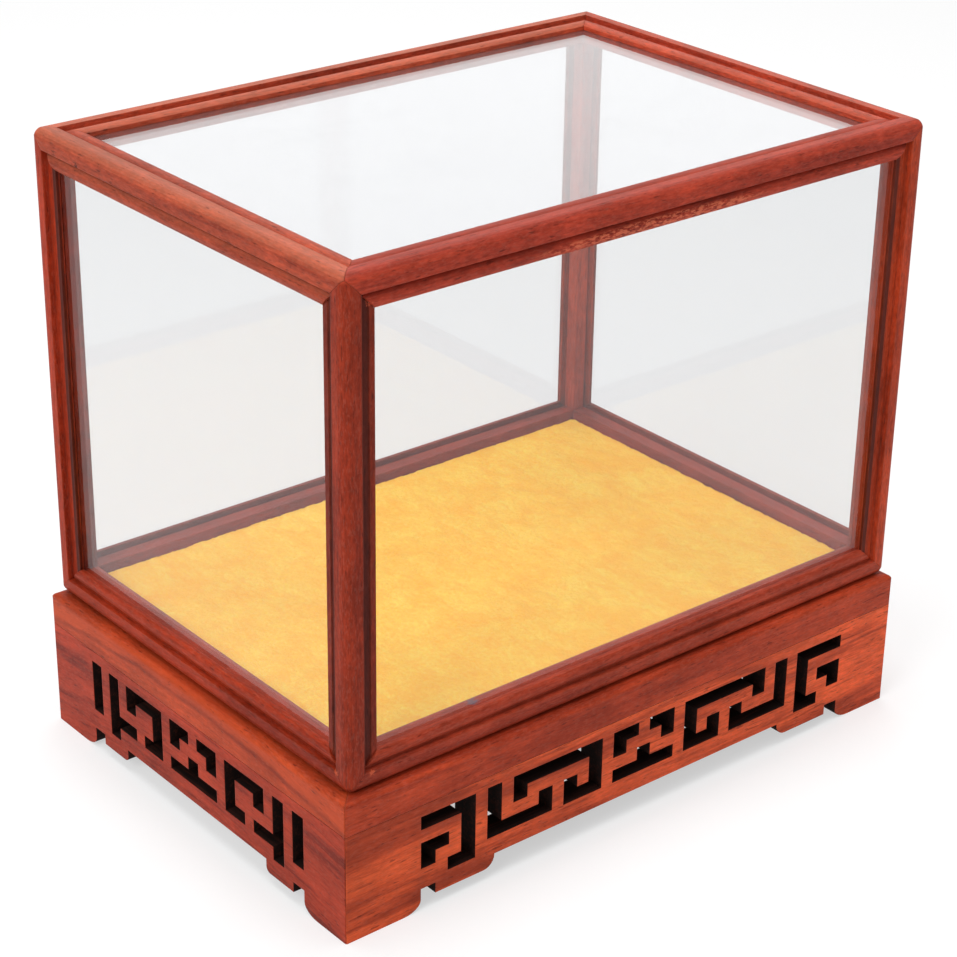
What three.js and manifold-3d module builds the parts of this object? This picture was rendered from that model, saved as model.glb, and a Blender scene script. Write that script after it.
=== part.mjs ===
import * as THREE from 'three';
import { RoundedBoxGeometry } from 'three/addons/geometries/RoundedBoxGeometry.js';
import { mergeVertices } from 'three/addons/utils/BufferGeometryUtils.js';
import Module from 'manifold-3d';

const wasm = await Module();
wasm.setup();

// A display box: a glass cover framed in hardwood lifts off a plinth of pierced fretwork boards.
// Millimetres, Z up. X runs along the long front, which faces -Y. The origin is under the middle.

// Plinth
const baseWidth = 300;
const baseDepth = 212;
const boardHeight = 48.5;
const boardThickness = 13;
const stripHeight = 14.5;
const stripWidth = 26;
const stripEdgeRound = 2.6;
const plinthCornerRound = 0.8;

// Cover
const sideLedge = 2.8;
const frontLedge = 1.7;
const coverHeight = 208;
const memberBlock = 13;
const lipReach = 1.8;
const topLipReach = 3.2;
const arrisRound = 4.2;
const sandedRound = 4.7;
const sandedMargin = 0.25;

// Moulding on the outer faces of the cover's frame, from the arris towards the glass: a flat, a quirk, then a
// plain lip on a post and a gently rounded band on a rail
const flatWidth = 7.8;
const quirkDepth = 2.4;
const quirkSlope = 0.3;
const postQuirkWidth = 4.5;
const railQuirkWidth = 1.6;
const bandCrownDepth = 0.9;
const lipDepth = 2;

// Glass
const glassThickness = 2.5;
const glassDepth = 4;
const glassInlay = 5.5;
const glassFaceClearance = 0.15;
const glassEdgeClearance = 0.3;

// Floor panel and its lining
const panelRise = 6;
const panelRebate = 6;
const panelClearance = 0.3;
const coverPlay = 0.7;
const plushThickness = 3.6;
const plushOverhang = 0.4;
const plushCornerRound = 3;
const plushEdgeRound = 0.9;

// Fretwork: a grid of columns and rows between a solid border at each end, a foot and a head
const frontFretBorder = 33.66;
const sideFretBorder = 29.55;
const fretFoot = 13.43;
const fretHead = 5.26;
const fretEase = 0.3;

// Hand work: the floor panel lies a little to the right and to the back of the middle, and the cover with
// it, and the pattern of each board lies a little off its middle
const coverOffsetX = 1.3;
const coverOffsetY = 1.4;
const frontFretShift = 2.9;
const sideFretShift = 2;

// Lower edge of a board
const apronHeight = 11.1;
const bracketHeight = 5.3;
const notchHeight = 10;
const footCurveRise = 4.8;
const footCurveRun = 8.5;
const frontBracketLength = 29.9;
const frontBracketCurve = 5.5;
const sideBracketLength = 18.5;
const sideBracketCurve = 2.5;

// Fits
const glueLine = 0.1;
const coverSeat = 0.1;
const cutOverrun = 5;

// Facets
const arrisSegments = 5;
const sandedSegments = 5;
const bandSegments = 6;
const curveSegments = 6;

const baseHeight = boardHeight + stripHeight;
const coverWidth = baseWidth - 2 * sideLedge;
const coverDepth = baseDepth - 2 * frontLedge;
const coverBottom = baseHeight + coverSeat;
const memberWidth = memberBlock + lipReach;
const topMemberWidth = memberBlock + topLipReach;
const paneEdge = memberWidth - glassInlay;
const grooveEnd = paneEdge - glassEdgeClearance;
const grooveNear = glassDepth - glassFaceClearance;
const grooveFar = glassDepth + glassThickness + glassFaceClearance;
const panelWidth = coverWidth - 2 * (memberBlock + coverPlay);
const panelDepth = coverDepth - 2 * (memberBlock + coverPlay);

const east = new THREE.Vector3(1, 0, 0);
const north = new THREE.Vector3(0, 1, 0);
const up = new THREE.Vector3(0, 0, 1);
const west = east.clone().negate();
const south = north.clone().negate();
const down = up.clone().negate();

function postWood() {
  return new THREE.MeshStandardMaterial({ color: 0x8c4a38, roughness: 0.45, metalness: 0 });
}

function railWood() {
  return new THREE.MeshStandardMaterial({ color: 0xa9553a, roughness: 0.45, metalness: 0 });
}

function fretWood() {
  return new THREE.MeshStandardMaterial({ color: 0xb4503a, roughness: 0.5, metalness: 0 });
}

function stripWood() {
  return new THREE.MeshStandardMaterial({ color: 0x8f3f30, roughness: 0.45, metalness: 0 });
}

function panelWood() {
  return new THREE.MeshStandardMaterial({ color: 0xc4996a, roughness: 0.8, metalness: 0 });
}

function clearGlass() {
  return new THREE.MeshStandardMaterial({
    color: 0xe6f0ec,
    roughness: 0.05,
    metalness: 0,
    transparent: true,
    opacity: 0.3,
  });
}

function yellowPlush() {
  return new THREE.MeshStandardMaterial({ color: 0xf2be62, roughness: 1, metalness: 0 });
}

function toSolid(geometry) {
  const bare = geometry.clone();
  bare.deleteAttribute('normal');
  bare.deleteAttribute('uv');
  const merged = mergeVertices(bare);
  const mesh = new wasm.Mesh({
    numProp: 3,
    vertProperties: new Float32Array(merged.attributes.position.array),
    triVerts: new Uint32Array(merged.index.array),
  });
  return new wasm.Manifold(mesh);
}

function toMesh(name, solid, material) {
  const result = solid.getMesh();
  const geometry = new THREE.BufferGeometry();
  geometry.setAttribute('position', new THREE.BufferAttribute(new Float32Array(result.vertProperties), 3));
  geometry.setIndex(new THREE.BufferAttribute(new Uint32Array(result.triVerts), 1));
  const mesh = new THREE.Mesh(geometry, material);
  geometry.computeVertexNormals();
  mesh.name = name;
  return mesh;
}

function outline(points) {
  return new THREE.Shape(points.map(([across, along]) => new THREE.Vector2(across, along)));
}

function extrude(shape, depth) {
  return new THREE.ExtrudeGeometry(shape, { depth, curveSegments, bevelEnabled: false });
}

// Turns a prism drawn in X and Y and extruded in Z so that its X, Y and Z lie along the given directions
function lay(geometry, alongX, alongY, alongZ, origin) {
  const turn = new THREE.Matrix4().makeBasis(alongX, alongY, alongZ);
  turn.setPosition(origin);
  return geometry.clone().applyMatrix4(turn);
}

function arc(centreX, centreY, radius, fromAngle, toAngle, segments) {
  const points = [];
  for (let step = 0; step <= segments; step += 1) {
    const angle = fromAngle + ((toAngle - fromAngle) * step) / segments;
    points.push([centreX + radius * Math.cos(angle), centreY + radius * Math.sin(angle)]);
  }
  return points;
}

// Cover frame

// Each moulded face is drawn as pairs of place across the face and depth under it, from the flat to the glass

// The quirk beside the flat, which ends at the given place
function quirk(end) {
  return [
    [flatWidth, 0],
    [flatWidth + quirkSlope, quirkDepth],
    [end - quirkSlope, quirkDepth],
  ];
}

// The groove that holds the glass behind a lip that ends at the given place
function glassGroove(lipEnd) {
  return [
    [lipEnd, grooveNear],
    [grooveEnd, grooveNear],
    [grooveEnd, grooveFar],
    [memberBlock, grooveFar],
  ];
}

function postFace() {
  const lipStart = flatWidth + postQuirkWidth;
  return [...quirk(lipStart), [lipStart, lipDepth], [memberWidth, lipDepth], ...glassGroove(memberWidth)];
}

function railFace(lipEnd) {
  const bandStart = flatWidth + railQuirkWidth;
  const half = (lipEnd - bandStart) / 2;
  const rise = lipDepth - bandCrownDepth;
  const radius = (half * half + rise * rise) / (2 * rise);
  const reach = Math.asin(half / radius);
  const crown = 1.5 * Math.PI;
  const band = arc(
    bandStart + half,
    bandCrownDepth + radius,
    radius,
    crown - reach,
    crown + reach,
    bandSegments,
  );
  return [...quirk(bandStart), ...band, ...glassGroove(lipEnd)];
}

// A face turned over the diagonal to the side at X = 0, and run back from the glass to the flat
function turnedFace(face) {
  return face.map(([place, depth]) => [depth, place]).reverse();
}

// The round nose at the outer edge of every member, from the face at X = 0 to the face at Y = 0
function arrisNose() {
  return arc(arrisRound, arrisRound, arrisRound, Math.PI, 1.5 * Math.PI, arrisSegments);
}

// Section of a post or top rail, with its arris at the origin
function doubleMouldedSection(faceAtX, faceAtY) {
  return outline([...arrisNose(), ...faceAtY, [memberBlock, memberBlock], ...turnedFace(faceAtX)]);
}

// Section of a bottom rail: X runs in from its outer face and Y runs up from its flat underside
function bottomRailSection() {
  const inside = [
    [memberBlock, 0],
    [memberBlock, memberBlock],
  ];
  return outline([...arrisNose(), ...inside, ...turnedFace(railFace(memberWidth))]);
}

// What two mitres leave of a bar of the given length: place across the bar against place along it
function mitredPlan(length, reach) {
  const back = glueLine / 2;
  return outline([
    [-cutOverrun, back - cutOverrun],
    [reach, back + reach],
    [reach, length - back - reach],
    [-cutOverrun, length - back + cutOverrun],
  ]);
}

// A member of the cover's frame, drawn with its arris on the Z axis and mitred on both inner sides
function mitredMember(section, length) {
  const reach = memberWidth + cutOverrun;
  const span = reach + cutOverrun;
  const plan = extrude(mitredPlan(length, reach), span);
  const low = -cutOverrun;
  const acrossX = lay(plan, east, up, south, new THREE.Vector3(0, reach, 0));
  const acrossY = lay(plan, north, up, east, new THREE.Vector3(low, 0, 0));
  return toSolid(extrude(section, length)).intersect(toSolid(acrossX)).intersect(toSolid(acrossY));
}

// The form to which the cover's corners are sanded: a little larger than the cover, so that it meets the
// members only where three of them come together
function sandedCover() {
  const [width, depth, height] = [coverWidth, coverDepth, coverHeight].map((size) => size + 2 * sandedMargin);
  const form = new RoundedBoxGeometry(width, depth, height, sandedSegments, sandedRound);
  form.translate(coverOffsetX, coverOffsetY, coverBottom + coverHeight / 2);
  return form;
}

// The size of the cover measured along a direction
function coverSpan(direction) {
  const size = new THREE.Vector3(coverWidth, coverDepth, coverHeight);
  return Math.abs(direction.dot(size));
}

// Sets a member in the edge of the cover whose two faces look away from the given inward directions
function seatMember(name, section, inwardX, inwardY, material) {
  const along = new THREE.Vector3().crossVectors(inwardX, inwardY);
  const corner = new THREE.Vector3(coverOffsetX, coverOffsetY, coverBottom + coverHeight / 2);
  for (const inward of [inwardX, inwardY, along]) {
    corner.addScaledVector(inward, -coverSpan(inward) / 2);
  }
  const seat = new THREE.Matrix4().makeBasis(inwardX, inwardY, along).setPosition(corner);
  const sanded = toSolid(sandedCover().applyMatrix4(seat.clone().invert()));
  const member = toMesh(name, mitredMember(section, coverSpan(along)).intersect(sanded), material);
  member.applyMatrix4(seat);
  return member;
}

function posts() {
  const section = doubleMouldedSection(postFace(), postFace());
  return [
    seatMember('post_front_left', section, east, north, postWood()),
    seatMember('post_front_right', section, north, west, postWood()),
    seatMember('post_back_right', section, west, south, postWood()),
    seatMember('post_back_left', section, south, east, postWood()),
  ];
}

function topRails() {
  const section = doubleMouldedSection(railFace(memberWidth), railFace(topMemberWidth));
  return [
    seatMember('top_rail_front', section, north, down, railWood()),
    seatMember('top_rail_right', section, west, down, railWood()),
    seatMember('top_rail_back', section, south, down, railWood()),
    seatMember('top_rail_left', section, east, down, railWood()),
  ];
}

function bottomRails() {
  const section = bottomRailSection();
  return [
    seatMember('bottom_rail_front', section, north, up, railWood()),
    seatMember('bottom_rail_right', section, west, up, railWood()),
    seatMember('bottom_rail_back', section, south, up, railWood()),
    seatMember('bottom_rail_left', section, east, up, railWood()),
  ];
}

// Glass

function pane(name, sizeX, sizeY, sizeZ, x, y, z) {
  const mesh = new THREE.Mesh(new THREE.BoxGeometry(sizeX, sizeY, sizeZ), clearGlass());
  mesh.name = name;
  mesh.position.set(x, y, z);
  return mesh;
}

function panes() {
  const wide = coverWidth - 2 * paneEdge;
  const deep = coverDepth - 2 * paneEdge;
  const high = coverHeight - 2 * paneEdge;
  const set = glassDepth + glassThickness / 2;
  const middle = coverBottom + coverHeight / 2;
  const x = coverOffsetX;
  const y = coverOffsetY;
  const sideX = coverWidth / 2 - set;
  const faceY = coverDepth / 2 - set;
  const topZ = coverBottom + coverHeight - set;
  return [
    pane('pane_front', wide, glassThickness, high, x, y - faceY, middle),
    pane('pane_back', wide, glassThickness, high, x, y + faceY, middle),
    pane('pane_left', glassThickness, deep, high, x - sideX, y, middle),
    pane('pane_right', glassThickness, deep, high, x + sideX, y, middle),
    pane('pane_top', wide, deep, glassThickness, x, y, topZ),
  ];
}

// Plinth

// The fret openings of half a board. Each entry is one sawn bar: first and last column line, then row lines.
// Column line n lies n + 1/2 pitches from the middle, and the other half is the mirror image.
const frontFretBars = [
  [0, 2, 4, 5],
  [1, 2, 3, 5],
  [3, 4, 1, 5],
  [3, 10, 4, 5],
  [9, 10, 3, 5],
  [3, 6, 1, 2],
  [5, 6, 1, 3],
  [7, 12, 1, 2],
  [7, 8, 1, 3],
  [11, 12, 1, 5],
  [13, 14, 0, 5],
  [13, 17, 4, 5],
  [13, 15, 0, 1],
  [15, 17, 2, 3],
  [16, 17, 1, 3],
];

const sideFretBars = [
  [0, 2, 4, 5],
  [1, 2, 3, 5],
  [3, 4, 1, 5],
  [3, 7, 4, 5],
  [6, 7, 3, 5],
  [3, 5, 1, 2],
  [6, 9, 1, 2],
  [8, 9, 0, 5],
  [10, 11, 1, 5],
];

// The middle opening, the same on every board, crosses the middle line
const middleFretBars = [
  [-3, 2, 1, 2],
  [-1, 0, 1, 3],
];

// The outermost column line of each kind of board, and the number of rows
const frontLastLine = 17;
const sideLastLine = 11;
const fretRows = 5;

// The measures of the two kinds of board, the long one of the front and back and the short one of the sides,
// with the place of the wall that the strip over it keeps clear of the floor panel
const longBoard = {
  length: baseWidth,
  bars: frontFretBars,
  lastLine: frontLastLine,
  pitch: (baseWidth / 2 - frontFretBorder) / (frontLastLine + 0.5),
  shift: frontFretShift,
  rebateWall: (baseDepth - panelDepth) / 2 - coverOffsetY - panelClearance,
  bracketLength: frontBracketLength,
  bracketCurve: frontBracketCurve,
};
const shortBoard = {
  length: baseDepth,
  bars: sideFretBars,
  lastLine: sideLastLine,
  pitch: (baseDepth / 2 - sideFretBorder) / (sideLastLine + 0.5),
  shift: sideFretShift,
  rebateWall: (baseWidth - panelWidth) / 2 - coverOffsetX - panelClearance,
  bracketLength: sideBracketLength,
  bracketCurve: sideBracketCurve,
};

// Place of a column line, measured from the middle of the pattern
function fretColumn(board, line) {
  return board.pitch * (line + 0.5);
}

function fretRow(line) {
  return fretFoot + ((boardHeight - fretHead - fretFoot) * line) / fretRows;
}

function mirroredBars(bars) {
  return bars.map(([first, last, low, high]) => [-last - 1, -first - 1, low, high]);
}

function fretBar(board, [first, last, low, high]) {
  const left = board.shift + fretColumn(board, first) - fretEase;
  const right = board.shift + fretColumn(board, last) + fretEase;
  return outline([
    [left, fretRow(low)],
    [right, fretRow(low)],
    [right, fretRow(high)],
    [left, fretRow(high)],
  ]);
}

// A quarter curve that runs down and outwards from the given place
function loweringCurve(startX, startY, run, drop) {
  return arc(0, 0, 1, Math.PI, 1.5 * Math.PI, curveSegments).map(([across, along]) => [
    startX + run * (1 + across),
    startY + drop * along,
  ]);
}

// Half of a board's lower edge, outwards from the middle of the pattern. A notch lies under the outermost
// column, with a bracket on its inner side and a foot on its outer side.
function lowerEdge(board) {
  const notchInner = fretColumn(board, board.lastLine - 1) - fretEase;
  const notchOuter = fretColumn(board, board.lastLine) + fretEase;
  const bracketEnd = notchInner - board.bracketLength;
  const bracketDrop = Math.min(board.bracketCurve, apronHeight - bracketHeight);
  return [
    [bracketEnd, apronHeight],
    ...loweringCurve(bracketEnd, bracketHeight + bracketDrop, board.bracketCurve, bracketDrop),
    [notchInner, bracketHeight],
    [notchInner, notchHeight],
    [notchOuter, notchHeight],
    ...loweringCurve(notchOuter, footCurveRise, footCurveRun, footCurveRise),
  ];
}

function boardOutline(board) {
  const edge = lowerEdge(board);
  const right = edge.map(([across, along]) => [board.shift + across, along]);
  const left = edge.map(([across, along]) => [board.shift - across, along]).reverse();
  const top = boardHeight - glueLine;
  const half = board.length / 2;
  return outline([[-half, top], [-half, 0], ...left, ...right, [half, 0], [half, top]]);
}

// The four sides of the plinth: how far each is turned from the front, its kind of board, and how far its
// outer face lies from the one across the plinth
const plinthSides = [
  { side: 'front', turn: 0, board: longBoard, across: baseDepth },
  { side: 'right', turn: 0.5 * Math.PI, board: shortBoard, across: baseWidth },
  { side: 'back', turn: Math.PI, board: longBoard, across: baseDepth },
  { side: 'left', turn: 1.5 * Math.PI, board: shortBoard, across: baseWidth },
];

// The plan of a rectangle round the middle with rounded corners
function roundedPlan(width, depth, round) {
  const x = width / 2 - round;
  const y = depth / 2 - round;
  return outline([
    ...arc(x, y, round, 0, 0.5 * Math.PI, arrisSegments),
    ...arc(-x, y, round, 0.5 * Math.PI, Math.PI, arrisSegments),
    ...arc(-x, -y, round, Math.PI, 1.5 * Math.PI, arrisSegments),
    ...arc(x, -y, round, 1.5 * Math.PI, 2 * Math.PI, arrisSegments),
  ]);
}

// Cuts both mitres on a piece that lies along the front of its side, and rounds its upright corners
function mitrePlinthPiece(solid, place, thickness) {
  const front = -place.across / 2;
  const half = (place.board.length - glueLine) / 2;
  const reach = thickness + cutOverrun;
  const height = baseHeight + 2 * cutOverrun;
  const plan = outline([
    [-half - cutOverrun, front - cutOverrun],
    [half + cutOverrun, front - cutOverrun],
    [half - reach, front + reach],
    [reach - half, front + reach],
  ]);
  const mitres = extrude(plan, height);
  mitres.translate(0, 0, -cutOverrun);
  const corners = extrude(roundedPlan(place.board.length, place.across, plinthCornerRound), height);
  corners.translate(0, 0, -cutOverrun);
  return solid.intersect(toSolid(mitres)).intersect(toSolid(corners));
}

function seatPlinthPiece(name, solid, place, material) {
  const mesh = toMesh(name, solid, material);
  mesh.rotateZ(place.turn);
  return mesh;
}

// Stands a shape drawn in X and Y upright along the front of its side, as thick as given
function uprightBoard(shape, place, thickness, overrun) {
  const geometry = extrude(shape, thickness + 2 * overrun);
  geometry.rotateX(0.5 * Math.PI);
  geometry.translate(0, thickness + overrun - place.across / 2, 0);
  return toSolid(geometry);
}

function fretBoard(place) {
  const board = place.board;
  let solid = uprightBoard(boardOutline(board), place, boardThickness, 0);
  for (const bar of [...middleFretBars, ...board.bars, ...mirroredBars(board.bars)]) {
    solid = solid.subtract(uprightBoard(fretBar(board, bar), place, boardThickness, cutOverrun));
  }
  const name = `fret_board_${place.side}`;
  return seatPlinthPiece(name, mitrePlinthPiece(solid, place, boardThickness), place, fretWood());
}

// Section of a top strip: X runs in from its outer face and Y up from the fret board under it
function topStripSection(rebateWall) {
  const round = stripEdgeRound;
  const edge = arc(round, stripHeight - round, round, Math.PI, 0.5 * Math.PI, arrisSegments);
  return outline([
    [0, 0],
    ...edge,
    [rebateWall, stripHeight],
    [rebateWall, stripHeight - panelRebate],
    [stripWidth, stripHeight - panelRebate],
    [stripWidth, 0],
  ]);
}

function topStrip(place) {
  const length = place.board.length;
  const start = new THREE.Vector3(-length / 2, -place.across / 2, boardHeight);
  const section = topStripSection(place.board.rebateWall);
  const strip = toSolid(lay(extrude(section, length), north, up, east, start));
  const name = `top_strip_${place.side}`;
  return seatPlinthPiece(name, mitrePlinthPiece(strip, place, stripWidth), place, stripWood());
}

function floorPanel() {
  const thickness = panelRebate + panelRise;
  const mesh = new THREE.Mesh(new THREE.BoxGeometry(panelWidth, panelDepth, thickness), panelWood());
  mesh.name = 'floor_panel';
  mesh.position.set(coverOffsetX, coverOffsetY, baseHeight + (panelRise - panelRebate) / 2);
  return mesh;
}

// The pile stands a little over the edge of the panel that it covers
function plushLining() {
  const width = panelWidth + 2 * plushOverhang;
  const depth = panelDepth + 2 * plushOverhang;
  const geometry = new THREE.ExtrudeGeometry(roundedPlan(width, depth, plushCornerRound), {
    depth: plushThickness - 2 * plushEdgeRound,
    curveSegments,
    bevelThickness: plushEdgeRound,
    bevelSize: plushEdgeRound,
    bevelOffset: -plushEdgeRound,
    bevelSegments: 3,
  });
  geometry.translate(0, 0, plushEdgeRound);
  const mesh = toMesh('plush_lining', toSolid(geometry), yellowPlush());
  mesh.position.set(coverOffsetX, coverOffsetY, baseHeight + panelRise);
  return mesh;
}

const displayBox = new THREE.Group();
displayBox.name = 'display_box';
displayBox.add(...posts(), ...topRails(), ...bottomRails(), ...panes());
displayBox.add(...plinthSides.map(fretBoard), ...plinthSides.map(topStrip));
displayBox.add(floorPanel(), plushLining());

export default displayBox;
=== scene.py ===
import math

import bpy
import numpy as np
from mathutils import Matrix, Vector


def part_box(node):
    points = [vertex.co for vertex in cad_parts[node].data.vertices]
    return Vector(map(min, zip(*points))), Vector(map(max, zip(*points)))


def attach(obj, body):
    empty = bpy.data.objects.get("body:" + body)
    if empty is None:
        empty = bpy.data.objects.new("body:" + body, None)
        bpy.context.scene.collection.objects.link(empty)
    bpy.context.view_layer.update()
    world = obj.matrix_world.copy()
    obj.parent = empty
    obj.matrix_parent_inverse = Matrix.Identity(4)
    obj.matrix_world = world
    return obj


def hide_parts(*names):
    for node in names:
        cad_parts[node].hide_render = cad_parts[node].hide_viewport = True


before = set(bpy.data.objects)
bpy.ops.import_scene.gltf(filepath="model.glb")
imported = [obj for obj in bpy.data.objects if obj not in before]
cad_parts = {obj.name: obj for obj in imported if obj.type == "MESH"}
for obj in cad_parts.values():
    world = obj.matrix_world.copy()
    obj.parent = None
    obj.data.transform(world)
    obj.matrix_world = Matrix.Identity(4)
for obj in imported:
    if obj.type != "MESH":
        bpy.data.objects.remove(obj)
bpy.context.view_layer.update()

# Lengths are in metres, and colours are written as 0 to 255 in sRGB unless they are plain shares of light.

SIDES = ("front", "right", "back", "left")
CORNERS = ("front_left", "front_right", "back_right", "back_left")
AXIS_NUMBER = {"x": 0, "y": 1, "z": 2}


# Colours

def srgb(red, green, blue):
    """A colour written as 0 to 255 in sRGB, for a shader socket."""
    def linear(value):
        value /= 255
        return value / 12.92 if value <= 0.04045 else ((value + 0.055) / 1.055) ** 2.4
    return (linear(red), linear(green), linear(blue), 1.0)


def grey(level):
    """A neutral share of light, for a shader socket."""
    return (level, level, level, 1.0)


PALE_LIFT = (1.36, 1.5, 1.42, 1.0)
DARK_DROP = (0.30, 0.24, 0.30, 1.0)


def tones(red, green, blue):
    """The pale, middle and dark shades of one piece of wood, from its middle colour."""
    middle = srgb(red, green, blue)
    pale = tuple(min(part * lift, 1.0) for part, lift in zip(middle, PALE_LIFT))
    dark = tuple(part * drop for part, drop in zip(middle, DARK_DROP))
    return pale, middle, dark


# Node helpers

class Tree:
    """A new material with short calls for its nodes."""

    def __init__(self, name):
        self.material = bpy.data.materials.new(name)
        self.material.use_nodes = True
        self.nodes = self.material.node_tree.nodes
        self.links = self.material.node_tree.links
        self.nodes.clear()
        self.output = self.nodes.new("ShaderNodeOutputMaterial")

    def put(self, socket, value):
        """Links another node's output to a socket, or writes a plain value on it."""
        if isinstance(value, bpy.types.NodeSocket):
            self.links.new(value, socket)
        else:
            socket.default_value = value

    def add(self, kind, inputs=None, **settings):
        """A new node with these settings and inputs."""
        node = self.nodes.new(kind)
        for key, value in settings.items():
            setattr(node, key, value)
        for key, value in (inputs or {}).items():
            self.put(node.inputs[key], value)
        return node

    def coordinates(self):
        """Places in the shared frame."""
        return self.add("ShaderNodeTexCoord").outputs["Object"]

    def parts(self, vector):
        """The x, y and z of a vector."""
        return tuple(self.add("ShaderNodeSeparateXYZ", {"Vector": vector}).outputs)

    def math(self, operation, a, b=0.0, clamp=False):
        node = self.add("ShaderNodeMath", {0: a, 1: b}, operation=operation, use_clamp=clamp)
        return node.outputs[0]

    def times(self, a, b):
        return self.math("MULTIPLY", a, b)

    def distance(self, a, b):
        """How far two plain numbers are apart."""
        return self.math("ABSOLUTE", self.math("SUBTRACT", a, b))

    def vectors(self, operation, a, b):
        """A node of vector arithmetic, with its outputs Vector and Value."""
        return self.add("ShaderNodeVectorMath", {0: a, 1: b}, operation=operation)

    def mix(self, factor, a, b, blend="MIX"):
        node = self.add("ShaderNodeMix", {"Factor": factor, 6: a, 7: b}, data_type="RGBA", blend_type=blend)
        return node.outputs[2]

    def ramp(self, value, low, high):
        """0 where the value is low and 1 where it is high, with a smooth step between."""
        node = self.add("ShaderNodeMapRange", {"Value": value, "From Min": low, "From Max": high},
                        interpolation_type="SMOOTHSTEP")
        return node.outputs["Result"]

    def span(self, value, first, last, low=0.0, high=1.0):
        """first where the value is low and last where it is high, and in proportion between."""
        node = self.add("ShaderNodeMapRange", {
            "Value": value, "From Min": low, "From Max": high, "To Min": first, "To Max": last,
        })
        return node.outputs["Result"]

    def noise(self, vector, scale, detail=3.0, roughness=0.5, distortion=0.0):
        node = self.add("ShaderNodeTexNoise", {
            "Vector": vector, "Scale": scale, "Detail": detail,
            "Roughness": roughness, "Distortion": distortion,
        })
        return node.outputs["Fac"]

    def stretched(self, vector, scale, turn=(0.0, 0.0, 0.0), offset=(0.0, 0.0, 0.0)):
        node = self.add("ShaderNodeMapping", {
            "Vector": vector, "Scale": scale, "Rotation": turn, "Location": offset,
        })
        return node.outputs["Vector"]

    def bump(self, height, strength, distance):
        return self.add("ShaderNodeBump", {"Height": height, "Strength": strength, "Distance": distance})

    def principled(self, **sockets):
        """The principled shader, with its sockets written with lower case and underscores."""
        spelt = {"ior": "IOR", "specular_ior_level": "Specular IOR Level"}
        inputs = {spelt.get(key, key.replace("_", " ").title()): value for key, value in sockets.items()}
        return self.add("ShaderNodeBsdfPrincipled", inputs).outputs["BSDF"]

    def mix_shaders(self, factor, a, b):
        return self.add("ShaderNodeMixShader", {0: factor, 1: a, 2: b}).outputs["Shader"]

    def close(self, surface):
        """Links the surface and hands over the finished material."""
        self.put(self.output.inputs["Surface"], surface)
        return self.material


# Wood

# Each layer of the grain: how often it repeats in a metre along and across the fibres, its own place in the
# noise, and the noise's detail, roughness and distortion
GRAIN = {
    "bands": (8.0, 85.0, 0.0, 3.0, 0.6, 0.8),
    "lines": (26.0, 480.0, 3.1, 4.0, 0.7, 0.4),
    "threads": (60.0, 1500.0, 5.7, 2.0, 0.6, 0.0),
    "pores": (210.0, 1100.0, 9.3, 1.0, 0.4, 0.0),
    "fleck": (230.0, 800.0, 12.9, 2.0, 0.7, 0.0),
    "torn": (420.0, 1300.0, 15.1, 2.0, 0.7, 0.0),
    "dust": (400.0, 1300.0, 18.3, 2.0, 0.7, 0.0),
}
SEED_STEP = 1.7
PLACE_STEP = 2.3
DRIFT_NOISE = (38.0, 3.0, 0.6)
WORN_AND_LIT_NOISE = (90.0, 2.0)
SPOT_NOISE = (1400.0, 1.0)

# Where each thing that is laid over the colour begins to show and is full
PALE_BANDS = (0.38, 0.66)
DARK_BANDS = (0.50, 0.30)
DARK_LINES = (0.48, 0.78)
DARK_THREADS = (0.52, 0.75)
DUST_SHOWN = (0.50, 0.64)
PORES_SHOWN = (0.66, 0.75)
UPWARD = (0.1, 0.9)
CREVICE = (0.78, 0.30)
SHARP_EDGE = (0.985, 0.86)
OUT_OF_CREVICE = (0.62, 0.9)
WORN_AND_LIT_HERE = (0.35, 0.65)
SAWN_WALL = (0.5, 0.3)
CHAR_LINES = (0.45, 0.75)
PATCH_EDGE = (1.2, 0.8)
RAISED_FIBRES = (0.46, 0.58)
PITS = (0.42, 0.34)
SPOT_EDGE = (1.3, 0.6)
SPOT_RAGGED = 3

# How strongly each is laid. The first two are added to a member's streaks, and the third multiplies them.
PALE_BAND_SHARE = 0.35
DARK_LINE_SHARE = 0.15
DARK_BAND_SHARE = 0.9
DARK_THREAD_SHARE = 0.30
DUST_SHARE = 0.05
PORE_SHARE = 0.45
RUBBED_AND_HIGHLIGHT_SHARE = 0.35
RAISED_SHARE = 0.7
PIT_SHARE = 0.6
SPOT_SHARE = 0.8

# How the slow drift and the fleck change the tone: the part of the noise that counts, and the factors
TONE_NOISE = (0.3, 0.7)
DRIFT_TONES = (0.84, 1.2)
FLECK_LIFT = 1.15

# The pale band of a cathedral figure: how far it wanders, where it fades out and is full, and how strong it
# is, and the same for the dark line that lies a little below it
BAND_WANDER = 0.004
BAND_EDGE = (0.0030, 0.0012)
BAND_SHARE = 0.5
SHADOW_BELOW = 0.0040
SHADOW_EDGE = (0.0016, 0.0002)
SHADOW_SHARE = 0.35

# Where the parts of a section begin and are fully reached, from the outer corner or the outer face
RAIL_MOULDING = (0.0072, 0.0082)
POST_CHANNEL = (0.0070, 0.0082)
POST_LIP = (0.0118, 0.0128)
POST_INWARD = (0.0030, 0.0036)
STAIN_AND_SHADE_WANDER = 0.0012

CREVICE_REACH = 0.0028
CREVICE_SAMPLES = 6
EDGE_ROUNDING_RADIUS = 0.0007
EDGE_ROUNDING_SAMPLES = 4
PORE_DEPTH = 0.0002
THREAD_HEIGHT = 0.25
BUMP_STRENGTH = 0.25
WAX_ROUGHNESS = (0.34, 0.56)
WAX_SPECULAR = 0.1
BURNT_ROUGHNESS = 0.3

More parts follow.
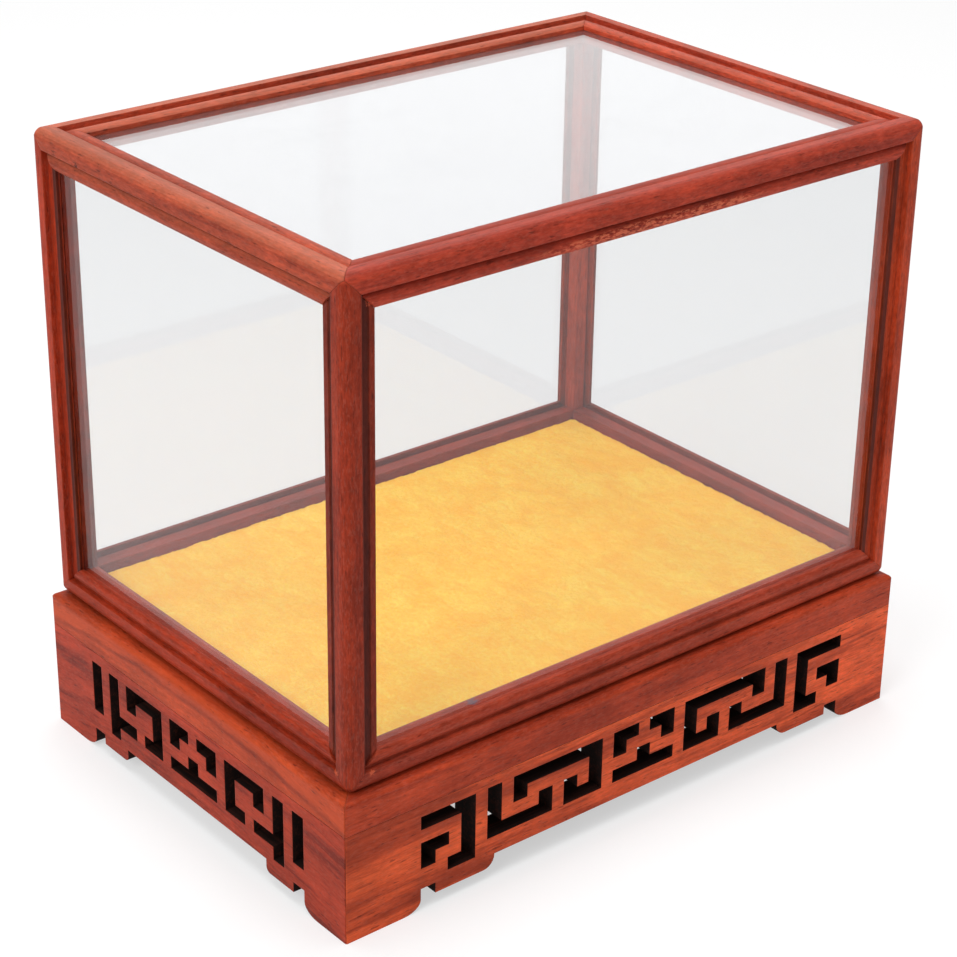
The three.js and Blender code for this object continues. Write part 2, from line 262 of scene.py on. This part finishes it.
SANDING_DUST = srgb(196, 158, 142)
PORE_DARK = srgb(44, 14, 10)
# painted shade in the crevices as well as wax and grime
DIRT_AND_SHADE = srgb(52, 14, 10)
# the dark of the posts' mouldings: partly staining, partly painted shade
STAIN_AND_SHADE_DARK = srgb(48, 15, 10)
# pale edges: partly wear, partly painted highlights
RUBBED_AND_HIGHLIGHT = srgb(206, 96, 62)
CHAR = srgb(26, 15, 13)
CHAR_PALE = srgb(62, 30, 22)
TORN_FIBRE = srgb(226, 118, 84)


class Wood(Tree):
    """Waxed red hardwood whose grain runs along one axis. It starts as the plain figure of the grain, and
    each method lays one more thing over its colour. arch is the middle of a cathedral figure along y, how
    fast it falls away to both sides, and the height of its pale band."""

    def __init__(self, name, axis, shades, seed, streaks, speckle, lean, arch):
        super().__init__(name)
        self.along = AXIS_NUMBER[axis]
        self.seed = seed
        self.pale, self.middle, self.dark = shades
        self.place = self.coordinates()
        self.source = self.place
        self.turn = [0.0, 0.0, 0.0]
        if lean:
            self.turn[0 if axis == "y" else 1] = lean
        if arch:
            centre, fall, crest = arch
            x, y, z = self.parts(self.place)
            away = self.math("SUBTRACT", y, centre)
            level = self.math("ADD", z, self.times(self.times(away, away), fall))
            self.source = self.add("ShaderNodeCombineXYZ", {"X": x, "Y": y, "Z": level}).outputs["Vector"]
        self.lines = self.grain("lines")
        self.threads = self.grain("threads")
        self.drift = self.noise(self.place, *DRIFT_NOISE)
        self.pore = self.ramp(self.grain("pores"), *PORES_SHOWN)
        self.geometry = self.add("ShaderNodeNewGeometry").outputs
        crevice = self.add("ShaderNodeAmbientOcclusion", {"Distance": CREVICE_REACH},
                           samples=CREVICE_SAMPLES, only_local=True)
        self.openness = crevice.outputs["AO"]
        bevel = self.add("ShaderNodeBevel", {"Radius": EDGE_ROUNDING_RADIUS}, samples=EDGE_ROUNDING_SAMPLES)
        self.rounded = bevel.outputs["Normal"]
        self.rough = self.span(self.lines, *WAX_ROUGHNESS)
        self.colour = self.middle
        self.figure(streaks, speckle)
        if arch:
            self.cathedral_band(level, crest)

    def grain(self, layer):
        """One layer of the grain as noise."""
        often_along, often_across, own_place, detail, roughness, distortion = GRAIN[layer]
        scale = [often_across] * 3
        scale[self.along] = often_along
        offset = (self.seed + own_place, self.seed * SEED_STEP, own_place * PLACE_STEP)
        vector = self.stretched(self.source, tuple(scale), tuple(self.turn), offset)
        return self.noise(vector, 1.0, detail, roughness, distortion)

    def lay(self, tint, amount):
        """Lays a tint over the colour by this amount."""
        self.colour = self.mix(amount, self.colour, tint)

    def shade(self, factor):
        """Makes the colour paler or darker by a factor."""
        self.colour = self.mix(1.0, self.colour, factor, "MULTIPLY")

    def uneven(self, reach):
        """The slow drift as a wander to both sides of zero."""
        return self.times(self.math("SUBTRACT", self.drift, 0.5), reach)

    def figure(self, streaks, speckle):
        """Broad bands of growth, finer streaks in them, a slow drift of tone, a fleck, and grey sanding dust
        left in the finest grain."""
        bands = self.grain("bands")
        self.lay(self.pale, self.times(self.ramp(bands, *PALE_BANDS), PALE_BAND_SHARE + streaks))
        self.lay(self.dark, self.times(self.ramp(self.lines, *DARK_LINES), DARK_LINE_SHARE + streaks))
        self.lay(self.dark, self.times(self.ramp(bands, *DARK_BANDS), DARK_BAND_SHARE * streaks))
        self.lay(self.dark, self.times(self.ramp(self.threads, *DARK_THREADS), DARK_THREAD_SHARE))
        self.shade(self.span(self.drift, *DRIFT_TONES, *TONE_NOISE))
        self.shade(self.span(self.grain("fleck"), 1 - speckle, 1 + speckle * FLECK_LIFT, *TONE_NOISE))
        self.lay(SANDING_DUST, self.times(self.ramp(self.grain("dust"), *DUST_SHOWN), DUST_SHARE))

    def cathedral_band(self, level, crest):
        """The pale band of a cathedral figure, with a darker line under it."""
        above = self.math("SUBTRACT", self.math("ADD", level, self.uneven(BAND_WANDER)), crest)
        self.lay(self.pale, self.times(self.ramp(self.math("ABSOLUTE", above), *BAND_EDGE), BAND_SHARE))
        below = self.math("ABSOLUTE", self.math("ADD", above, SHADOW_BELOW))
        self.lay(self.dark, self.times(self.ramp(below, *SHADOW_EDGE), SHADOW_SHARE))

    def fade(self, on_flat, on_moulding, tint, outer_face):
        """Painted light and shade on the top of a rail, laid as a tint by one amount on its flat and another
        on its moulding.
        """
        inward = self.distance(self.parts(self.place)[1 - self.along], outer_face)
        amount = self.times(self.ramp(inward, *RAIL_MOULDING), on_moulding - on_flat)
        amount = self.math("ADD", amount, on_flat)
        upward = self.ramp(self.parts(self.geometry["Normal"])[AXIS_NUMBER["z"]], *UPWARD)
        self.lay(tint, self.times(upward, amount))

    def grow_paler(self, slope):
        """A tone that grows paler along the grain, by this share in a metre."""
        self.shade(self.math("ADD", 1.0, self.times(self.parts(self.place)[self.along], slope)))

    def open_pores(self):
        """Short dark dashes along the grain."""
        self.lay(PORE_DARK, self.times(self.pore, PORE_SHARE))

    def lay_dirt_and_shade(self, dirt_and_shade):
        """Wax and grime gathered where the moulding runs in, together with painted shade: the wood is
        darkened wherever ambient occlusion finds a crevice.
        """
        self.lay(DIRT_AND_SHADE, self.times(self.ramp(self.openness, *CREVICE), dirt_and_shade))

    def lay_stain_and_shade(self, corner, channel, lip, inward):
        """A post's moulding, each part of it darkened by its own amount from the post's outer corner. The
        darkening is partly staining and partly painted shade, most of all on the lips and the inward sides.
        """
        x, y, _ = self.parts(self.place)
        runs = [self.distance(x, corner[0]), self.distance(y, corner[1])]
        far = self.math("ADD", self.math("MAXIMUM", *runs), self.uneven(STAIN_AND_SHADE_WANDER))
        near = self.math("MINIMUM", *runs)
        amount = self.times(self.ramp(far, *POST_CHANNEL), channel)
        amount = self.math("ADD", amount, self.times(self.ramp(far, *POST_LIP), lip - channel))
        change = self.times(self.ramp(near, *POST_INWARD), self.math("SUBTRACT", inward, amount))
        self.lay(STAIN_AND_SHADE_DARK, self.math("ADD", amount, change))

    def rub_and_highlight(self):
        """Sharp edges, rubbed paler here and there: partly wear and partly painted highlights."""
        alike = self.vectors("DOT_PRODUCT", self.rounded, self.geometry["Normal"]).outputs["Value"]
        worn_and_lit = self.ramp(alike, *SHARP_EDGE)
        worn_and_lit = self.times(worn_and_lit, self.ramp(self.openness, *OUT_OF_CREVICE))
        worn_and_lit = self.times(worn_and_lit, self.ramp(self.noise(self.place, *WORN_AND_LIT_NOISE), *WORN_AND_LIT_HERE))
        self.lay(RUBBED_AND_HIGHLIGHT, self.times(worn_and_lit, RUBBED_AND_HIGHLIGHT_SHARE))

    def scorch(self, outward):
        """Burnt walls where a board was sawn through. outward is the axis square to the board's faces."""
        normal = self.parts(self.geometry["True Normal"])[AXIS_NUMBER[outward]]
        burnt = self.ramp(self.math("ABSOLUTE", normal), *SAWN_WALL)
        self.lay(self.mix(self.ramp(self.lines, *CHAR_LINES), CHAR, CHAR_PALE), burnt)
        self.rough = self.math("ADD", self.rough, self.times(burnt, BURNT_ROUGHNESS), clamp=True)

    def tear(self, middle, half_size):
        """A rough patch of torn grain, with raised pale fibres and dark pits."""
        away = self.vectors("SUBTRACT", self.place, middle).outputs["Vector"]
        share = self.vectors("DIVIDE", away, half_size).outputs["Vector"]
        reach = self.add("ShaderNodeVectorMath", {0: share}, operation="LENGTH")
        inside = self.ramp(reach.outputs["Value"], *PATCH_EDGE)
        fibres = self.grain("torn")
        raised = self.times(self.ramp(fibres, *RAISED_FIBRES), RAISED_SHARE)
        self.lay(TORN_FIBRE, self.times(inside, raised))
        pitted = self.times(self.ramp(fibres, *PITS), PIT_SHARE)
        self.lay(self.dark, self.times(inside, pitted))

    def spot(self, middle, radius, tint):
        """A small ragged mark: a pin hole, a speck of glue or a smear."""
        away = self.vectors("DISTANCE", self.place, middle).outputs["Value"]
        wander = self.math("SUBTRACT", self.noise(self.place, *SPOT_NOISE), 0.5)
        reach = self.math("ADD", away, self.times(wander, radius * SPOT_RAGGED))
        edge = [radius * share for share in SPOT_EDGE]
        self.lay(tint, self.times(self.ramp(reach, *edge), SPOT_SHARE))

    def finish(self):
        """The finished material, with its pores and threads as a fine bump."""
        height = self.math("SUBTRACT", self.times(self.threads, THREAD_HEIGHT), self.pore)
        bump = self.bump(height, BUMP_STRENGTH, PORE_DEPTH)
        self.put(bump.inputs["Normal"], self.rounded)
        return self.close(self.principled(
            base_color=self.colour, roughness=self.rough, specular_ior_level=WAX_SPECULAR,
            normal=bump.outputs["Normal"],
        ))


def wood(name, axis, shades, seed, streaks=0.3, speckle=0.24, dirt_and_shade=0.5, lean=0.0, arch=None, top_light_and_shade=None,
         slope=0.0, stained_and_shaded=None, outward=None, torn=None, spots=()):
    """One member's wood. streaks, speckle and dirt_and_shade are how strong these are, and lean turns the
    grain, in radians. slope, outward and each spot, and top_light_and_shade, stained_and_shaded and torn
    where they are given, hold what the method of that thing takes."""
    tree = Wood(name, axis, shades, seed, streaks, speckle, lean, arch)
    # painted light and shade on the tops of the top rails
    if top_light_and_shade:
        tree.fade(*top_light_and_shade)
    if slope:
        tree.grow_paler(slope)
    tree.open_pores()
    # wax and grime, with painted shade, in the crevices
    tree.lay_dirt_and_shade(dirt_and_shade)
    # staining and painted shade on the posts' mouldings
    if stained_and_shaded:
        tree.lay_stain_and_shade(*stained_and_shaded)
    # paler sharp edges, partly wear and partly painted highlights
    tree.rub_and_highlight()
    if outward:
        tree.scorch(outward)
    if torn:
        tree.tear(*torn)
    for spot in spots:
        tree.spot(*spot)
    return tree.finish()


# Glass, cloth and plywood

SMEAR_NOISE = (22.0, 4.0, 0.6, 0.4)
SMEAR_SHOWN = (0.45, 0.8)
SMEAR_ROUGHNESS = 0.03
FILM_COLOUR = (0.40, 0.41, 0.42, 1.0)
FILM_MOTTLE = (0.85, 1.15)
FACING_BLEND = 0.5
SLANT_POWER = 2.0


def pane_glass(name, film, glancing, tint, ior):
    """Clear glass which lets lamp light through to what it covers. A thin film of dust veils what lies behind
    it, a little where it is looked at squarely and more at a glancing angle."""
    tree = Tree(name)
    smear = tree.ramp(tree.noise(tree.coordinates(), *SMEAR_NOISE), *SMEAR_SHOWN)
    glass = tree.principled(
        roughness=tree.times(smear, SMEAR_ROUGHNESS), base_color=tint, ior=ior, transmission_weight=1.0,
    )
    dust = tree.add("ShaderNodeBsdfDiffuse", {"Color": FILM_COLOUR}).outputs["BSDF"]
    facing = tree.add("ShaderNodeLayerWeight", {"Blend": FACING_BLEND}).outputs["Facing"]
    cover = tree.math("ADD", film, tree.times(tree.math("POWER", facing, SLANT_POWER), glancing))
    cover = tree.times(cover, tree.span(smear, *FILM_MOTTLE))
    dusty = tree.mix_shaders(cover, glass, dust)
    clear = tree.add("ShaderNodeBsdfTransparent", {"Color": grey(1.0)}).outputs["BSDF"]
    path = tree.add("ShaderNodeLightPath").outputs
    passing = tree.math("MAXIMUM", path["Is Shadow Ray"], path["Is Diffuse Ray"])
    return tree.close(tree.mix_shaders(passing, dusty, clear))


# Each layer of the pile: how it is stretched and turned, its noise, and where it begins and is full
MOTTLE_NOISE = (48.0, 5.0, 0.65, 0.6)
MOTTLE_SHOWN = (0.36, 0.70)
TUFT_NOISE = (620.0, 3.0, 0.7)
TUFTS_SHOWN = (0.38, 0.66)
FIBRE_STRETCH = (1000.0, 460.0, 1000.0)
FIBRE_TURN = (0.0, 0.0, 0.6)
FIBRE_NOISE = (1.0, 2.0, 0.6)
FIBRES_SHOWN = (0.5, 0.8)
COMBED_STRETCH = (160.0, 60.0, 160.0)
COMBED_TURN = (0.0, 0.0, 0.9)
COMBED_NOISE = (1.0, 4.0, 0.7, 0.5)
COMBED_SHOWN = (0.4, 0.66)
COMBED_SHARE = 0.5
ROOTS_SHARE = 0.5
TIPS_SHARE = 0.45
FIBRE_HEIGHT = 0.7
PILE_STRENGTH = 0.4
PILE_PALE = srgb(255, 214, 84)
PILE_DEEP = srgb(255, 192, 60)
PILE_COMBED = srgb(255, 174, 42)
PILE_ROOTS = srgb(255, 166, 22)
PILE_TIPS = srgb(255, 230, 112)
PILE_SHEEN = srgb(255, 196, 84)
PILE_BUMP = 0.0005


def plush_cloth():
    """Short golden pile with a soft mottle where it has been brushed one way or the other."""
    tree = Tree("golden_plush")
    place = tree.coordinates()
    mottle = tree.ramp(tree.noise(place, *MOTTLE_NOISE), *MOTTLE_SHOWN)
    tufts = tree.ramp(tree.noise(place, *TUFT_NOISE), *TUFTS_SHOWN)
    fibre = tree.noise(tree.stretched(place, FIBRE_STRETCH, FIBRE_TURN), *FIBRE_NOISE)
    brushed = tree.stretched(place, COMBED_STRETCH, COMBED_TURN)
    combed = tree.ramp(tree.noise(brushed, *COMBED_NOISE), *COMBED_SHOWN)
    colour = tree.mix(mottle, PILE_PALE, PILE_DEEP)
    colour = tree.mix(tree.times(combed, COMBED_SHARE), colour, PILE_COMBED)
    colour = tree.mix(tree.times(tufts, ROOTS_SHARE), colour, PILE_ROOTS)
    colour = tree.mix(tree.times(tree.ramp(fibre, *FIBRES_SHOWN), TIPS_SHARE), colour, PILE_TIPS)
    height = tree.math("ADD", tufts, tree.times(fibre, FIBRE_HEIGHT))
    return tree.close(tree.principled(
        base_color=colour, roughness=0.95, specular_ior_level=0.05,
        sheen_weight=0.25, sheen_roughness=0.5, sheen_tint=PILE_SHEEN,
        normal=tree.bump(height, PILE_STRENGTH, PILE_BUMP).outputs["Normal"],
    ))


PLYWOOD_STRETCH = (9.0, 160.0, 160.0)
PLYWOOD_NOISE = (1.0, 4.0, 0.6, 0.5)
PLYWOOD_SHOWN = (0.35, 0.7)
PLYWOOD_PALE = srgb(214, 178, 130)
PLYWOOD_DARK = srgb(186, 144, 98)
PLYWOOD_BUMP = 0.0002
PLYWOOD_STRENGTH = 0.2


def bare_board():
    """Plain pale plywood of the floor panel, hidden under the pile and seen from below."""
    tree = Tree("bare_panel")
    figure = tree.noise(tree.stretched(tree.coordinates(), PLYWOOD_STRETCH), *PLYWOOD_NOISE)
    colour = tree.mix(tree.ramp(figure, *PLYWOOD_SHOWN), PLYWOOD_PALE, PLYWOOD_DARK)
    return tree.close(tree.principled(
        base_color=colour, roughness=0.8,
        normal=tree.bump(figure, PLYWOOD_STRENGTH, PLYWOOD_BUMP).outputs["Normal"],
    ))


def dress(node, material):
    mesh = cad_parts[node].data
    mesh.materials.clear()
    mesh.materials.append(material)


# The frame of the cover

AXIS = {"front": "x", "right": "y", "back": "x", "left": "y"}
ACROSS = {"x": "y", "y": "x"}

# The first seed of each family of members, and the step from one member to the next
SEEDS = {
    "post": (4.3, 7.7),
    "top_rail": (31.1, 5.9),
    "bottom_rail": (61.7, 6.3),
    "board": (91.9, 8.3),
    "strip": (131.3, 9.1),
}


def seed_of(family, number):
    first, step = SEEDS[family]
    return first + step * number


POST = {
    "front_left": tones(136, 43, 23),
    "front_right": tones(174, 60, 31),
    "back_right": tones(164, 60, 34),
    "back_left": tones(157, 47, 22),
}
TOP_RAIL = {
    "front": tones(163, 56, 38),
    "right": tones(160, 56, 36),
    "back": tones(160, 62, 40),
    "left": tones(153, 60, 38),
}
BOTTOM_RAIL = {
    "front": tones(151, 54, 34),
    "right": tones(138, 45, 27),
    "back": tones(134, 43, 25),
    "left": tones(143, 43, 20),
}

# How dark the channels, the lips and the inward sides of each post are made, partly by staining and partly
# by painted shade
STAIN_AND_SHADE = {
    "front_left": (0.72, 0.25, 0.30),
    "front_right": (0.19, 0.82, 0.40),
    "back_right": (0.60, 0.40, 0.0),
    "back_left": (0.17, 0.84, 0.40),
}

# How strongly the top of each top rail is painted lighter or darker on its flat and on its moulding, and
# with which colour: a painted sheen or a painted shade for the light that falls on the tops
PAINTED_TOP_SHEEN = srgb(200, 136, 106)
PAINTED_TOP_SHADE = srgb(119, 48, 36)
TOP_LIGHT_AND_SHADE = {
    "front": (0.30, 0.52, PAINTED_TOP_SHADE),
    "right": (0.10, 0.10, PAINTED_TOP_SHEEN),
    "back": (0.24, 0.20, PAINTED_TOP_SHEEN),
    "left": (0.22, 0.02, PAINTED_TOP_SHEEN),
}

# Torn grain along the lip of the front top rail: its middle and half its size
TORN = {"front": ((0.0, -0.1020, 0.2585), (0.055, 0.0040, 0.0024))}

# Small marks: the middle, the radius and the colour of each
GLUE = srgb(206, 92, 58)
GLUE_SPECKS = [
    ((-0.1459, -0.0952, 0.0706), 0.0011, GLUE),
    ((-0.1449, -0.0937, 0.0716), 0.0007, GLUE),
    ((-0.13488, -0.1029, 0.0703), 0.0012, GLUE),
    ((-0.13366, -0.1008, 0.2588), 0.0010, srgb(206, 92, 62)),
]
PIN_HOLE = ((-0.1459, 0.0710, 0.26385), 0.0010, srgb(62, 18, 12))
SMEAR = ((-0.0788, -0.0926, 0.0761), 0.0021, srgb(96, 94, 108))
POST_SPOTS = {"front_left": GLUE_SPECKS}
TOP_RAIL_SPOTS = {"front": GLUE_SPECKS, "left": [PIN_HOLE]}
BOTTOM_RAIL_SPOTS = {"front": GLUE_SPECKS + [SMEAR], "left": GLUE_SPECKS + [SMEAR]}

for number, corner in enumerate(CORNERS):
    low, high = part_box(f"post_{corner}")
    outer_corner = (low.x if "left" in corner else high.x, low.y if "front" in corner else high.y)
    dress(f"post_{corner}", wood(
        f"post_wood_{corner}", "z", POST[corner], seed_of("post", number), dirt_and_shade=0.4,
        stained_and_shaded=(outer_corner, *STAIN_AND_SHADE[corner]), spots=POST_SPOTS.get(corner, ()),
    ))
for number, side in enumerate(SIDES):
    low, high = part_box(f"top_rail_{side}")
    outer_face = {"front": low.y, "right": high.x, "back": high.y, "left": low.x}[side]
    dress(f"top_rail_{side}", wood(
        f"top_rail_wood_{side}", AXIS[side], TOP_RAIL[side], seed_of("top_rail", number), dirt_and_shade=0.15,
        top_light_and_shade=(*TOP_LIGHT_AND_SHADE[side], outer_face), torn=TORN.get(side), spots=TOP_RAIL_SPOTS.get(side, ()),
    ))
    dress(f"bottom_rail_{side}", wood(
        f"bottom_rail_wood_{side}", AXIS[side], BOTTOM_RAIL[side], seed_of("bottom_rail", number),
        dirt_and_shade=0.12, speckle=0.18, spots=BOTTOM_RAIL_SPOTS.get(side, ()),
    ))


# The plinth

BOARD = {
    "front": tones(201, 78, 42),
    "right": tones(192, 70, 38),
    "back": tones(198, 74, 40),
    "left": tones(149, 46, 25),
}
STRIP = {
    "front": tones(166, 58, 32),
    "right": tones(168, 58, 32),
    "back": tones(162, 56, 31),
    "left": tones(168, 61, 30),
}

# How far the grain of the boards leans, in radians, and how much of that the strips take on
LEAN = {"front": 0.10, "right": 0.12, "back": -0.08, "left": 0.0}
STRIP_LEAN = 0.2

# How much paler each board grows towards the far end of its axis, as a share in a metre
SLOPE = {"front": 0.7, "right": -0.3, "back": -0.6, "left": 0.4}

# The cathedral figure of the left board: its middle along y, how fast it falls away, and its pale band
ARCH = {"left": (0.0050, 0.67, 0.0614)}

for number, side in enumerate(SIDES):
    dress(f"fret_board_{side}", wood(
        f"board_wood_{side}", AXIS[side], BOARD[side], seed_of("board", number), streaks=0.6, speckle=0.14,
        lean=LEAN[side], arch=ARCH.get(side), slope=SLOPE[side], outward=ACROSS[AXIS[side]],
    ))
    dress(f"top_strip_{side}", wood(
        f"strip_wood_{side}", AXIS[side], STRIP[side], seed_of("strip", number), speckle=0.16,
        lean=STRIP_LEAN * LEAN[side], arch=ARCH.get(side),
    ))
dress("floor_panel", bare_board())


# The glass

CLEAR_TINT = (0.89, 0.895, 0.90, 1.0)
TOP_TINT = (0.74, 0.745, 0.76, 1.0)
long_glass = pane_glass("long_glass", film=0.008, glancing=0.04, tint=CLEAR_TINT, ior=1.45)
end_glass = pane_glass("end_glass", film=0.006, glancing=0.02, tint=CLEAR_TINT, ior=1.33)
top_glass = pane_glass("top_glass", film=0.02, glancing=0.14, tint=TOP_TINT, ior=1.5)
for side in SIDES:
    dress(f"pane_{side}", long_glass if side in ("front", "back") else end_glass)
dress("pane_top", top_glass)


# The lining

# How far apart the points of the pile are, its headroom, and how high its tufts and its slow swell stand
PILE_PITCH = 0.0011
PILE_SEED = 5
PILE_HEADROOM = 0.0003
TUFT_HEIGHT = 0.0003
SWELL_HEIGHT = 0.00018
SWELL_LIMIT = 2
SMOOTHING_ROUNDS = 10

# How the edge rolls over: its width, the share of the height that stays at the rim and the share that
# rises, and how far the swell and the tufts eat into it
EDGE_WIDTH = 0.0014
RIM_SHARE = 0.55
RISE_SHARE = 0.45
RAGGED_SWELL = 0.0006
RAGGED_TUFT = 0.0012
RAGGED_LIMIT = 0.002
TUFT_BITE = 0.3


def slow_swell(tuft):
    """The tufts' random heights smoothed to a slow swell about zero."""
    swell = tuft.copy()
    for _ in range(SMOOTHING_ROUNDS):
        swell = (np.roll(swell, 1, 0) + np.roll(swell, -1, 0) + np.roll(swell, 1, 1)
                 + np.roll(swell, -1, 1) + swell) / 5
    return (swell - swell.mean()) / swell.std()


def lining():
    """A sheet of short pile: a fine grid with tufts, rolled over at its edge."""
    low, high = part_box("plush_lining")
    columns = int((high.x - low.x) / PILE_PITCH) + 1
    rows = int((high.y - low.y) / PILE_PITCH) + 1
    x = np.linspace(low.x, high.x, columns)
    y = np.linspace(low.y, high.y, rows)
    grid_x, grid_y = np.meshgrid(x, y, indexing="ij")
    tuft = np.random.default_rng(PILE_SEED).random((columns, rows))
    swell = slow_swell(tuft)
    edge_x = np.minimum(grid_x - low.x, high.x - grid_x)
    edge_y = np.minimum(grid_y - low.y, high.y - grid_y)
    edge = np.minimum(edge_x, edge_y)
    ragged = np.clip(swell * RAGGED_SWELL + (tuft - TUFT_BITE) * RAGGED_TUFT, 0, RAGGED_LIMIT)
    fall = np.clip((edge - ragged) / EDGE_WIDTH, 0, 1)
    top = high.z - PILE_HEADROOM
    height = low.z + (top - low.z) * (RIM_SHARE + RISE_SHARE * np.sqrt(1 - (1 - fall) ** 2))
    height += TUFT_HEIGHT * (tuft - 0.5) + SWELL_HEIGHT * np.clip(swell, -SWELL_LIMIT, SWELL_LIMIT)
    vertices = [(float(a), float(b), float(min(c, high.z))) for a, b, c in
                zip(grid_x.ravel(), grid_y.ravel(), height.ravel())]
    faces = []
    for i in range(columns - 1):
        for j in range(rows - 1):
            a = i * rows + j
            faces.append((a, a + rows, a + rows + 1, a + 1))
    # the underside closes the sheet
    rim = [i * rows for i in range(columns)]
    rim += [(columns - 1) * rows + j for j in range(1, rows)]
    rim += [i * rows + rows - 1 for i in range(columns - 2, -1, -1)]
    rim += [j for j in range(rows - 2, 0, -1)]
    first = len(vertices)
    vertices += [(vertices[k][0], vertices[k][1], low.z) for k in rim]
    count = len(rim)
    for k in range(count):
        following = (k + 1) % count
        faces.append((rim[following], rim[k], first + k, first + following))
    faces.append(tuple(first + k for k in range(count - 1, -1, -1)))
    mesh = bpy.data.meshes.new("plush_pile")
    mesh.from_pydata(vertices, [], faces)
    mesh.validate()
    mesh.update()
    piece = bpy.data.objects.new("plush_pile", mesh)
    bpy.context.scene.collection.objects.link(piece)
    mesh.materials.append(plush_cloth())
    for polygon in mesh.polygons:
        polygon.use_smooth = len(polygon.vertices) == 4
    return piece, (high.x - low.x, high.y - low.y)


pile, pile_size = lining()
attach(pile, "plinth")
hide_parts("plush_lining")


# The room

# The lamps: place, what each points at, width, height and power
LAMPS = {
    "key": ((-2.2, -0.5, 1.7), (0, 0, 0.12), 1.4, 1.4, 30),
    "above": ((0.0, 0.1, 1.95), (0, 0, 0), 1.6, 1.6, 28),
    "behind": ((1.55, 1.85, 1.50), (0, 0, 0.25), 2.2, 1.2, 8),
}
AMBIENT = 0.49

# The floor's colour as a lamp and as it is seen, and the glow that lifts what is seen to white
FLOOR_REACH = 6.0
FLOOR_LIT = 0.85
FLOOR_SEEN = 0.45
FLOOR_GLOW = 0.54

# The photograph's view, with angles in degrees and the lens and the sensor in millimetres
CAMERA_PLACE = (-0.61510, -0.74296, 0.57937)
CAMERA_YAW = 39.623
CAMERA_PITCH = 25.773
CAMERA_ROLL = 0.866
LENS = 94.34
SENSOR = 36.0


def softbox(name, place, target, width, height, power):
    data = bpy.data.lights.new(name, "AREA")
    data.shape = "RECTANGLE"
    data.size = width
    data.size_y = height
    data.energy = power
    lamp = bpy.data.objects.new(name, data)
    bpy.context.scene.collection.objects.link(lamp)
    lamp.location = place
    lamp.rotation_mode = "QUATERNION"
    lamp.rotation_quaternion = (Vector(target) - lamp.location).to_track_quat("-Z", "Y")


def floor():
    """A pale floor that reads white to the camera and in reflections, and keeps the object's shadow."""
    mesh = bpy.data.meshes.new("studio_floor")
    corners = [(-FLOOR_REACH, -FLOOR_REACH, 0), (FLOOR_REACH, -FLOOR_REACH, 0),
               (FLOOR_REACH, FLOOR_REACH, 0), (-FLOOR_REACH, FLOOR_REACH, 0)]
    mesh.from_pydata(corners, [], [(0, 1, 2, 3)])
    thing = bpy.data.objects.new("studio_floor", mesh)
    bpy.context.scene.collection.objects.link(thing)
    tree = Tree("studio_floor")
    path = tree.add("ShaderNodeLightPath").outputs
    seen = tree.math("MAXIMUM", path["Is Camera Ray"], path["Is Transmission Ray"])
    seen = tree.math("MAXIMUM", seen, path["Is Glossy Ray"])
    colour = tree.mix(seen, grey(FLOOR_LIT), grey(FLOOR_SEEN))
    surface = tree.add("ShaderNodeBsdfDiffuse", {"Color": colour}).outputs["BSDF"]
    glow = tree.add("ShaderNodeEmission", {"Strength": FLOOR_GLOW}).outputs["Emission"]
    glow_seen = tree.add("ShaderNodeMixShader", {0: seen, 2: glow}).outputs["Shader"]
    mesh.materials.append(tree.close(
        tree.add("ShaderNodeAddShader", {0: surface, 1: glow_seen}).outputs["Shader"]))


def sky():
    """A room that looks and mirrors white, and lights the object by its ambient level."""
    world = bpy.data.worlds.new("studio")
    world.use_nodes = True
    bpy.context.scene.world = world
    nodes, links = world.node_tree.nodes, world.node_tree.links
    nodes.clear()
    path = nodes.new("ShaderNodeLightPath")
    seen = path.outputs["Is Camera Ray"]
    for kind in ("Is Glossy Ray", "Is Transmission Ray"):
        either = nodes.new("ShaderNodeMath")
        either.operation = "MAXIMUM"
        links.new(seen, either.inputs[0])
        links.new(path.outputs[kind], either.inputs[1])
        seen = either.outputs[0]
    level = nodes.new("ShaderNodeMapRange")
    level.inputs["To Min"].default_value = AMBIENT
    level.inputs["To Max"].default_value = 1.0
    links.new(seen, level.inputs["Value"])
    background = nodes.new("ShaderNodeBackground")
    links.new(level.outputs["Result"], background.inputs["Strength"])
    output = nodes.new("ShaderNodeOutputWorld")
    links.new(background.outputs["Background"], output.inputs["Surface"])


def camera():
    """The photograph's view, solved from the lines of the plinth and the cover."""
    yaw, pitch, roll = math.radians(CAMERA_YAW), math.radians(CAMERA_PITCH), math.radians(CAMERA_ROLL)
    view = Vector((math.sin(yaw) * math.cos(pitch), math.cos(yaw) * math.cos(pitch), -math.sin(pitch)))
    level = Vector((math.cos(yaw), -math.sin(yaw), 0))
    upright = level.cross(view)
    right = math.cos(roll) * level + math.sin(roll) * upright
    above = -math.sin(roll) * level + math.cos(roll) * upright
    data = bpy.data.cameras.new("camera")
    data.sensor_width = SENSOR
    data.lens = LENS
    thing = bpy.data.objects.new("camera", data)
    bpy.context.scene.collection.objects.link(thing)
    turn = Matrix((right, above, -view)).transposed()
    thing.matrix_world = Matrix.Translation(CAMERA_PLACE) @ turn.to_4x4()
    bpy.context.scene.camera = thing


floor()
sky()
for lamp_name, lamp_settings in LAMPS.items():
    softbox(lamp_name, *lamp_settings)
camera()
bpy.context.scene.view_settings.view_transform = "Standard"
